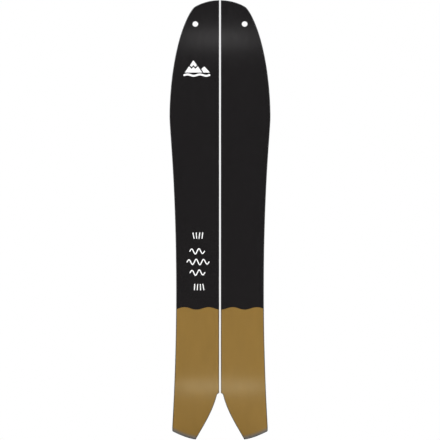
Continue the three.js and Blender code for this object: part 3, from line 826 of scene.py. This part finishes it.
def emblem():
    """Two peaks over a swell."""
    soft = 0.8
    shapes = {
        "peak_cap": [
            (-23, 10.5, soft), (-17, 5, soft), (-11, 12, soft), (-5, 5, soft), (1, 10.5, soft),
            (-11, 27, 1.5),
        ],
        "peak_body": [
            (-39.5, -13, soft), (17.5, -13, soft), (3.5, 7.5, soft), (-5, -1, soft),
            (-11, 6, soft), (-17, -1, soft), (-25.5, 7.5, soft),
        ],
        "small_peak": [(14.5, -1.5, soft), (22, -13, soft), (43, -13, soft), (25, 7, 1.2)],
    }
    loops = {name: rounded(corners, steps=4) for name, corners in shapes.items()}
    across = np.linspace(-SWELL["half_width"], SWELL["half_width"], 40)
    swing = SWELL["swing"] * np.sin(2 * math.pi * across / SWELL["half_width"])
    loops["swell"] = ribbon(np.column_stack([across, SWELL["s"] + swing]), SWELL["stroke"])
    return {f"emblem_{name}": loop + EMBLEM_PLACE for name, loop in loops.items()}


def tally_marks():
    loops = {}
    for row, (middle, s, leans) in TALLY_ROWS.items():
        for i, lean in enumerate(leans):
            foot = np.array([middle + (i - 1.5) * TALLY["pitch"], s])
            reach = np.array([-lean, TALLY["height"]]) / 2
            path = np.linspace(foot + reach, foot - reach, 6)
            loops[f"tally_{row}_{i + 1}"] = ribbon(path, TALLY["stroke"])
    return loops


def squiggles():
    """Rows of waves that swell towards their middles, as if drawn by hand."""
    ends, swell = 0.72, 0.28
    loops = {}
    for name, (middle, s, waves) in SQUIGGLE_ROWS.items():
        along = np.linspace(0, waves, 24 * waves)
        x = middle + (along - waves / 2) * SQUIGGLE["wave"]
        swing = SQUIGGLE["swing"] * (ends + swell * np.sin(math.pi * along / waves))
        path = np.column_stack([x, s + swing * np.sin(2 * math.pi * along)])
        loops[f"squiggle_{name}"] = ribbon(path, SQUIGGLE["stroke"])
    return loops


MARKS = {**emblem(), **tally_marks(), **squiggles()}


# ---- Holes in a half's layers, as on the right half ----

def insert_places():
    rows = (-INSERT_PITCH, 0, INSERT_PITCH)
    packs = {
        stance: [(x, centre + row) for x in INSERT_COLUMNS for row in rows]
        for stance, centre in STANCE.items()
    }
    packs["touring"] = [(TOUR_COLUMN, TOUR_CENTRE + row) for row in rows]
    return packs


def joint(name):
    return next(j for j in frame["joints"] if j["name"] == name)


def station(name):
    """The plan position s of an arm's pivot, from its joint."""
    z = joint(f"{name}_swing")["pos_m"][2]
    guess = (z - CAD_LOW.z) * METRE
    for _ in range(4):
        guess += (z - CAD_LOW.z) * METRE - (guess - TOP(guess) * math.sin(tilt(guess)))
    return guess


HOOKS = ("rear_hook_left", "rear_hook_right", "front_hook_left", "front_hook_right")
CLIPS = ("tail_clip", "nose_clip")
HOOK_STATIONS = {name: station(name) for name in HOOKS}
CLIP_STATIONS = {name: station(f"{name}_latch") for name in CLIPS}


def screw_places():
    places = [(PIVOT_OFFSET, s, SCREW_SHANK) for s in HOOK_STATIONS.values()]
    for s in CLIP_STATIONS.values():
        places += [(PIVOT_OFFSET, s + way * PLATE_SCREW_OFFSET, SMALL_SHANK) for way in (-1, 1)]
    return places


def holes_within(loop, screws=True, inserts=True):
    """The holes that fall inside a layer's outline."""
    found = [circle(*NOSE_HOLE, GROMMET_BARREL + FIT, ROUND)]
    if screws:
        found += [circle(x, s, shank + FIT, 24) for x, s, shank in screw_places()]
    if inserts:
        places = [place for pack in insert_places().values() for place in pack]
        found += [circle(x, s, INSERT_RADIUS + FIT) for x, s in places]
    return [hole for hole in found if inside(hole.mean(0)[None], [loop])[0]]


# ---- One half of the board ----

def wave_for(side):
    def height(x):
        waves = (side * x - WAVE_CREST) / WAVE_LENGTH
        return WAVE_HEIGHT + WAVE_AMPLITUDE * np.cos(2 * math.pi * waves)
    return height


def base_loops(side):
    sheet = inset(OUTLINE, STEEL_WIDTH + FIT)
    wave = wave_for(side)
    seam = FIT / 2
    black = clipped(sheet, lambda x: wave(x) + seam, True, 2.0)
    gold = clipped(sheet, lambda x: wave(x) - seam, False, 2.0)
    marks = [mirrored(loop) for loop in MARKS.values()] if side < 0 else []
    return {
        "base_black": [black, *holes_within(black, screws=False, inserts=False), *marks],
        "base_gold": [gold],
    }


def steel_loops():
    """Two strips of edge: round the outside, and along the split and the notch."""
    corner_s = LENGTH - STEEL_WIDTH
    split_point = OUTLINE[np.argmin(np.linalg.norm(OUTLINE - (84.0, 1.1), axis=1))]
    next_point = split_point + (FIT, FIT / 3)
    outer = strip(STEEL_WIDTH, next_point, (HALF_GAP, LENGTH), [(HALF_GAP, corner_s)])
    inner = strip(STEEL_WIDTH, (HALF_GAP, corner_s - EDGE_STEP), split_point)
    crown_end = [(HALF_GAP + STEEL_WIDTH, corner_s - FIT), (HALF_GAP, corner_s - FIT)]
    return {"steel_edge_outer": [outer], "steel_edge_inner": [np.vstack([crown_end, inner])]}


def rim_side(rim, beyond):
    """The rim underfoot, tail end first, on the outside or along the split."""
    side = rim[(rim[:, 0] > MIDLINE) == beyond]
    side = side[np.argsort(side[:, 1])]
    start, end = CORE_START + FIT, CORE_END - FIT
    between = side[(side[:, 1] > start + 1) & (side[:, 1] < end - 1), 1]
    along = np.array([start, *between, end])
    return np.column_stack([np.interp(along, side[:, 1], side[:, 0]), along])


def sidewall_loops():
    outer_rim, inner_rim = OUTLINE, inset(OUTLINE, SIDEWALL_WIDTH)
    found = {}
    for name, beyond in (("sidewall_outer", True), ("sidewall_inner", False)):
        loop = np.vstack([rim_side(outer_rim, beyond), rim_side(inner_rim, beyond)[::-1]])
        found[name] = [loop if beyond else loop[::-1]]
    return found


def spacer_loops():
    loops = {
        "nose_spacer": clipped(OUTLINE, flat(CORE_END), True, GRID),
        "tail_spacer": clipped(OUTLINE, flat(CORE_START), False, GRID),
    }
    return {name: [loop, *holes_within(loop)] for name, loop in loops.items()}


def skin_loops():
    lower = inset(OUTLINE, STEEL_WIDTH + FIT)
    upper = inset(OUTLINE, TOP_TRIM)
    return {
        "lower_laminate": [lower, *holes_within(lower, screws=False, inserts=False)],
        "upper_laminate": [upper, *holes_within(upper)],
        "topsheet": [upper, *holes_within(upper)],
    }


LAYERS = {  # the heights that each layer fills, and its material
    "base_black": ("base", "base_black"),
    "base_gold": ("base", "base_gold"),
    "steel_edge_outer": ("steel", "edge_steel"),
    "steel_edge_inner": ("steel", "edge_steel"),
    "sidewall_outer": ("core", "sidewall"),
    "sidewall_inner": ("core", "sidewall"),
    "nose_spacer": ("core", "spacer"),
    "tail_spacer": ("core", "spacer"),
    "lower_laminate": ("lower_laminate", "glass_laminate"),
    "upper_laminate": ("upper_laminate", "glass_laminate"),
    "topsheet": ("topsheet", "topsheet"),
}


def stands_for(made, body, node):
    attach(made, body)
    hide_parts(node)


def board_half(half, side):
    plans = {
        **base_loops(side), **steel_loops(), **sidewall_loops(), **spacer_loops(), **skin_loops(),
    }
    for name, plan in plans.items():
        if side < 0:
            plan = [mirrored(loop) for loop in plan]
        node = f"{half}_{name}"
        heights, slot = LAYERS[name]
        made = slab(f"{node}_smooth", plan, LEVELS[heights], slot)
        stands_for(made, f"{half}_half", node)


def base_marks():
    for name, loop in MARKS.items():
        made = slab(f"left_base_{name}", [loop], LEVELS["base"], "base_white", bevel=MARK_ROUND)
        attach(made, "left_half")


def grommet_ring(half, side):
    """A flanged ring pressed through the nose hole from the topsheet."""
    x, s = NOSE_HOLE
    top = float(TOP(s))
    bottom = 0.1
    profile = rounded([
        (GROMMET_BORE, bottom, 0.4), (GROMMET_BARREL, bottom, 0.1), (GROMMET_BARREL, top, 0),
        (GROMMET_FLANGE, top, 0), (GROMMET_FLANGE, top + FLANGE_HEIGHT, 0.7),
        (GROMMET_BORE, top + FLANGE_HEIGHT, 0.7),
    ])
    made = turned(f"{half}_nose_grommet_smooth", profile, on_board, "grommet",
                  closed=True, segments=64, centre=(side * x, s))
    stands_for(made, f"{half}_half", f"{half}_nose_grommet")


def threaded_insert(x, s, top):
    """A barrel with a threaded blind hole, let in flush with the topsheet."""
    pitch, depth = 1.0, 0.35
    profile = [(0, INSERT_BOTTOM), (INSERT_RADIUS, INSERT_BOTTOM), (INSERT_RADIUS, top - 0.2)]
    profile += [(INSERT_RADIUS - 0.2, top), (INSERT_BORE + 0.6, top)]
    n = top - 0.6
    while n - pitch > INSERT_FLOOR:
        profile += [(INSERT_BORE, n), (INSERT_BORE + depth, n - pitch / 2)]
        n -= pitch
    profile += [(INSERT_BORE, n), (INSERT_BORE, INSERT_FLOOR), (0, INSERT_FLOOR)]
    return turned("insert", profile, on_board, "insert_steel", centre=(x, s))


def insert_strips(places):
    """The thin bars that carry one pack of inserts."""
    xs, rows = sorted({x for x, _ in places}), [s for _, s in places]
    low, middle, high = min(rows), (min(rows) + max(rows)) / 2, max(rows)
    half = STRIP_HALF_WIDTH
    bars = [(x - half, x + half, low - half, high + half) for x in xs]
    if len(xs) > 1:
        bars.append((xs[0] + half, xs[-1] - half, middle - half, middle + half))
    levels = (flat(INSERT_BOTTOM), flat(INSERT_STRIP_TOP))
    return [slab("strip", [rectangle(*bar, 1)], levels, "insert_steel") for bar in bars]


def insert_packs(half, side):
    for pack, places in insert_places().items():
        sided = [(side * x, s) for x, s in places]
        top = float(TOP(places[0][1]))
        parts = [threaded_insert(x, s, top) for x, s in sided] + insert_strips(sided)
        node = f"{half}_inserts_{pack}"
        stands_for(joined(f"{node}_smooth", parts), f"{half}_half", node)


# ---- Hooks and clips ----

def arm_outline(half_width):
    """An arm pointing along s from its pivot, with a jaw open on its right-hand side."""
    parked, reach = 2 * PIVOT_OFFSET, CATCH_RADIUS + JAW_PLAY
    near, far = parked - CLOSING - reach, parked + reach
    closed_end = math.pi / 2 + reach / near
    corner, eased, soft, tip_corner = 1.6, 0.3, 1.5, 4.0

    def jaw_edge(radius):
        start = math.acos(half_width / radius)
        return arc((0, 0), radius, start, closed_end - corner / radius, 14)

    lower, upper = jaw_edge(near), jaw_edge(far)[::-1]
    inward = np.array([math.cos(closed_end), math.sin(closed_end)])
    low_end, high_end = near * inward, far * inward
    back_wall = [
        low_end + (inward * corner + lower[-1] - low_end) * eased,
        low_end + inward * corner, high_end - inward * corner,
        high_end + (upper[0] - high_end - inward * corner) * eased,
    ]
    tip = rounded([
        (half_width, far), (half_width, ARM_REACH - tip_corner, soft),
        (half_width - tip_corner, ARM_REACH, soft), (tip_corner - half_width, ARM_REACH, soft),
        (-half_width, ARM_REACH - tip_corner, soft), (-half_width, 0),
    ], closed=False)[1:-1]
    heel = arc((0, 0), half_width, math.pi, 2 * math.pi, 28)
    return np.vstack([heel, lower, back_wall, upper, tip])


def arm_plate(name, size, place):
    loops = [arm_outline(size["half_width"]), circle(0, 0, PIVOT_HOLE, 40)]
    levels = (flat(size["low"]), flat(size["high"]))
    return slab(name, loops, levels, "hook_metal", place, bevel=0.45, spacing=SMALL_GRID)


def boss(size, seat_high, place):
    """The raised ring under an arm that stands on the surface below."""
    low, high = seat_high + PLAY, size["low"] + OVERLAP
    profile = rectangle(PIVOT_HOLE, BOSS_RADIUS, low, high, 0.15, steps=3)
    return turned("boss", profile, place, "hook_metal", closed=True)


def hook_arm(name, place):
    return joined(name, [arm_plate(name, HOOK, place), boss(HOOK, 0.0, place)])


def latch_arm(name, place):
    half, levels = RIB_HALF_WIDTH, (flat(LATCH["high"] - OVERLAP), flat(RIB_HIGH))
    loop = rectangle(-half, half, ARM_REACH - RIB_DEPTH, ARM_REACH, 1)
    rib = slab("rib", [loop], levels, "hook_metal", place, bevel=0.5, spacing=2.0)
    plate = arm_plate(name, LATCH, place)
    return joined(name, [plate, boss(LATCH, PLATE["high"], place), rib])


def socket(across, face, depth):
    """The profile down into a hexagon socket from a screw's face."""
    lead, dish, point = 0.25, 0.2, 0.5
    floor = face - depth
    return [
        (across * 0.6 + lead, face), (hexagon(across), face - lead), (hexagon(across), floor),
        (across / 4, floor - dish), (0, floor - point),
    ]


def thread(radius, bottom, top):
    """The flanks of a screw's thread, from its point up."""
    pitch, depth = 1.2, 0.35
    points = [(0, bottom), (radius - depth * 2, bottom)]
    n = bottom + pitch / 2
    while n + pitch < top:
        points += [(radius, n), (radius - depth, n + pitch / 2)]
        n += pitch
    return points + [(radius, n), (radius, top)]


def turned_screw(name, place, *sections):
    """A screw whose profile is given in sections, from its point up."""
    profile = [point for section in sections for point in section]
    return turned(name, profile, place, "screw_steel")


def pivot_screw(name, place, low, depth):
    """The screw that an arm swings on, with its head's underside at low."""
    radius, crown, top = PIVOT_HEAD["radius"], PIVOT_HEAD["crown"], low + PIVOT_HEAD["height"]
    head = rounded([
        (SCREW_SHANK, low, 0), (radius, low, 0.3), (radius, low + PIVOT_HEAD["rim"], 0.8),
        (crown, top, 0.6), (crown - 0.9, top, 0),
    ], closed=False)
    recess = socket(PIVOT_HEAD["socket"], top, SOCKET_DEPTH["pivot"])
    return turned_screw(name, place, thread(SCREW_SHANK, -depth, low - 1), head, recess)


def catch_head(pin_low, arm_high, across):
    """A pin under a wide head, which an arm's jaw closes round."""
    low = arm_high + CATCH_HEAD["play"]
    radius, crown, top = CATCH_HEAD["radius"], CATCH_HEAD["crown"], low + CATCH_HEAD["height"]
    head = rounded([
        (CATCH_RADIUS, pin_low, 0), (CATCH_RADIUS, low, 0.3), (radius, low, 0.3),
        (radius, low + CATCH_HEAD["rim"], 0.6), (crown, top, 0.5), (crown - 0.8, top, 0),
    ], closed=False, steps=4)[1:]
    return [*head, *socket(across, top, SOCKET_DEPTH["catch"])]


def catch_screw(name, place, depth):
    low = HOOK["low"] - CATCH_HEAD["play"]
    shoulder = rounded([
        (SCREW_SHANK, PLAY, 0), (CATCH_COLLAR, PLAY, 0.2), (CATCH_COLLAR, low, 0.3),
        (CATCH_RADIUS, low, 0),
    ], closed=False, steps=3)
    head = catch_head(low, HOOK["high"], CATCH_SOCKET)
    return turned_screw(name, place, thread(SCREW_SHANK, -depth, -0.5), shoulder, head)


def plate_slab(name, place, pivot_hole):
    x, s = PLATE["half_width"], PLATE["half_length"]
    loops = [rectangle(-x, x, -s, s, PLATE["corner"], steps=8)]
    loops += [circle(0, way * PLATE_SCREW_OFFSET, SUNK_HEAD["cone"], 40) for way in (-1, 1)]
    if pivot_hole:
        loops.append(circle(0, 0, PIVOT_HOLE, 40))
    levels = (flat(PLATE["low"]), flat(PLATE["high"]))
    return slab(name, loops, levels, "clip_plate", place, bevel=0.4, spacing=SMALL_GRID)


def catch_plate(name, place):
    plate = plate_slab(name, place, pivot_hole=False)
    foot = PLATE["high"] - 0.5
    profile = [(0, foot), (CATCH_RADIUS, foot)]
    profile += catch_head(PLATE["high"], LATCH["high"], PIN_SOCKET)
    return joined(name, [plate, turned("pin", profile, place, "clip_plate")])


def plate_screw(name, place, depth):
    """A countersunk screw that fills the cone in the clip's plate."""
    face, radius = PLATE["high"] - SUNK_HEAD["recess"], SUNK_HEAD["radius"]
    head = [(radius, face - 0.3), (radius - 0.05, face - 0.05), (radius - 0.8, face)]
    recess = socket(SUNK_HEAD["socket"], face, SOCKET_DEPTH["sunk"])
    return turned_screw(name, place, thread(SMALL_SHANK, -depth, PLATE["low"]), head, recess)


def screw_depth(s):
    return float(TOP(s)) - SCREW_FLOOR


def frames_for(pivot_joint, turned_round=False):
    """An arm's own frame, and the frame of its catch across the split."""
    x, y, z = pivot_joint["pos_m"]
    axis = pivot_joint["axis"]
    return hardware((x, y, z), axis, turned_round), hardware((-x, y, z), axis)


def hook_set(name):
    on_right = name.endswith("right")
    own, other = ("right_half", "left_half") if on_right else ("left_half", "right_half")
    pivot, across = frames_for(joint(f"{name}_swing"), on_right)
    depth = screw_depth(HOOK_STATIONS[name])
    arm = hook_arm(f"{name}_arm", pivot)
    screw = pivot_screw(f"{name}_pivot_screw_turned", pivot, HOOK["high"] + PLAY, depth)
    catch = catch_screw(f"{name}_catch_screw_turned", across, depth)
    stands_for(arm, name, name)
    stands_for(screw, own, f"{name}_pivot_screw")
    stands_for(catch, other, f"{name}_catch_screw")


def clip_set(name):
    pivot_joint = joint(f"{name}_latch_swing")
    pivot, across = frames_for(pivot_joint)
    latch = latch_arm(f"{name}_latch_arm", pivot)
    base = plate_slab(f"{name}_base_plate_milled", pivot, pivot_hole=True)
    screw_foot, screw_low = -PLATE["low"] - 0.3, LATCH["high"] + PLAY
    screw = pivot_screw(f"{name}_pivot_screw_turned", pivot, screw_low, screw_foot)
    catch = catch_plate(f"{name}_catch_plate_milled", across)
    stands_for(latch, f"{name}_latch", f"{name}_latch")
    stands_for(base, "left_half", f"{name}_base_plate")
    stands_for(screw, "left_half", f"{name}_pivot_screw")
    stands_for(catch, "right_half", f"{name}_catch_plate")
    clip_screws(name, pivot_joint)


def clip_screws(name, pivot_joint):
    """The four small screws that hold a clip's two plates."""
    x, y, z = pivot_joint["pos_m"]
    axis = Vector(pivot_joint["axis"])
    ahead = Vector((1, 0, 0)).cross(axis) * PLATE_SCREW_OFFSET / METRE
    depth = screw_depth(CLIP_STATIONS[name]) - 1
    for half, side_x in (("left", x), ("right", -x)):
        for end, way in (("lower", -1), ("upper", 1)):
            node = f"{name}_screw_{half}_{end}"
            place = hardware(Vector((side_x, y, z)) + ahead * way, axis)
            made = plate_screw(f"{node}_turned", place, depth)
            stands_for(made, f"{half}_half", node)


# ---- Carried-over nodes ----

def repaint(node, slot):
    mesh = frame["nodes"][node].data
    mesh.materials.clear()
    mesh.materials.append(MATERIALS[slot])


# ---- Studio ----

def camera():
    """Square on to the base, so that the board fills the height of the picture."""
    data = bpy.data.cameras.new("camera")
    data.type = "ORTHO"
    picture_height = 1.4423
    below_tips = 0.0016
    data.ortho_scale = picture_height
    middle = CAD_LOW.z - below_tips + picture_height / 2
    made = added("camera", data, (0, CAD_LOW.y - 4, middle))
    made.rotation_euler = (math.pi / 2, 0, 0)
    bpy.context.scene.camera = made


def aim(made, target):
    made.rotation_euler = (Vector(target) - made.location).to_track_quat("-Z", "Y").to_euler()


def sun(name, azimuth, elevation, strength, softness):
    data = bpy.data.lights.new(name, "SUN")
    data.energy = strength
    data.angle = math.radians(softness)
    a, e = math.radians(azimuth), math.radians(elevation)
    location = (math.sin(a) * math.cos(e), -math.cos(a) * math.cos(e), math.sin(e))
    aim(added(name, data, location), (0, 0, 0))


def card(name, location, target, width, height, power, color=(1, 1, 1)):
    """A soft rectangular light, which shows in reflections and not to the camera."""
    data = bpy.data.lights.new(name, "AREA")
    data.shape = "RECTANGLE"
    data.size, data.size_y = width, height
    data.energy = power
    data.color = color
    made = added(name, data, location)
    aim(made, target)
    made.visible_camera = False


def mirror_card(name, s, spread, distance, width, power, color):
    """A light that the curved base mirrors into the camera at plan height s."""
    height = CAD_LOW.z + s / METRE
    depth = CAD_LOW.y + float(rise(s)) / METRE
    elevation = 2 * float(tilt(s))
    place = (0, depth - distance * math.cos(elevation), height + distance * math.sin(elevation))
    card(name, place, (0, depth, height), width, spread, power, color)


def world():
    """White to the camera, and a dim even room to everything else."""
    made = bpy.data.worlds.new("studio")
    made.use_nodes = True
    nodes, links = made.node_tree.nodes, made.node_tree.links
    backdrop = nodes["Background"]
    backdrop.inputs["Color"].default_value = (1, 1, 1, 1)
    room = nodes.new("ShaderNodeBackground")
    room.inputs["Color"].default_value = (0.12, 0.12, 0.12, 1)
    seen = nodes.new("ShaderNodeLightPath")
    mix = nodes.new("ShaderNodeMixShader")
    links.new(seen.outputs["Is Camera Ray"], mix.inputs[0])
    links.new(room.outputs[0], mix.inputs[1])
    links.new(backdrop.outputs[0], mix.inputs[2])
    links.new(mix.outputs[0], nodes["World Output"].inputs["Surface"])
    bpy.context.scene.world = made


def floor():
    half = 40.0
    z = CAD_LOW.z
    mesh = bpy.data.meshes.new("floor")
    corners = [(-half, -half, z), (half, -half, z), (half, half, z), (-half, half, z)]
    mesh.from_pydata(corners, [], [(0, 1, 2, 3)])
    mesh.materials.append(floor_paint().material)
    made = added("floor", mesh)
    made.visible_glossy = False


def studio():
    world()
    floor()
    camera()
    sun("key", -38, 16, 1.58, 24)
    sun("fill", 40, 15, 1.38, 30)
    sun("rear", 150, 68, 2.2, 30)
    mirror_card("nose_glow", 1315.0, 0.14, 1.2, 0.24, 0.15, (1, 0.98, 0.98))
    mirror_card("tail_glow", 174.0, 0.085, 0.7, 0.3, 0.215, (1, 0.98, 0.72))
    card("rear_card", (0.9, 1.8, 0.6), (0, 0, -0.5), 1.2, 1.2, 18)
    card("rear_wall", (0, 3.2, -1.2), (0, 0, -0.9), 5.0, 4.4, 55)
    bpy.context.scene.view_settings.view_transform = "Standard"


# ---- The whole ----

for half_name, half_side in (("left", -1), ("right", 1)):
    board_half(half_name, half_side)
    grommet_ring(half_name, half_side)
    insert_packs(half_name, half_side)
    repaint(f"{half_name}_wood_core", "core_wood")
base_marks()
for hook_name in HOOKS:
    hook_set(hook_name)
for clip_name in CLIPS:
    clip_set(clip_name)
studio()
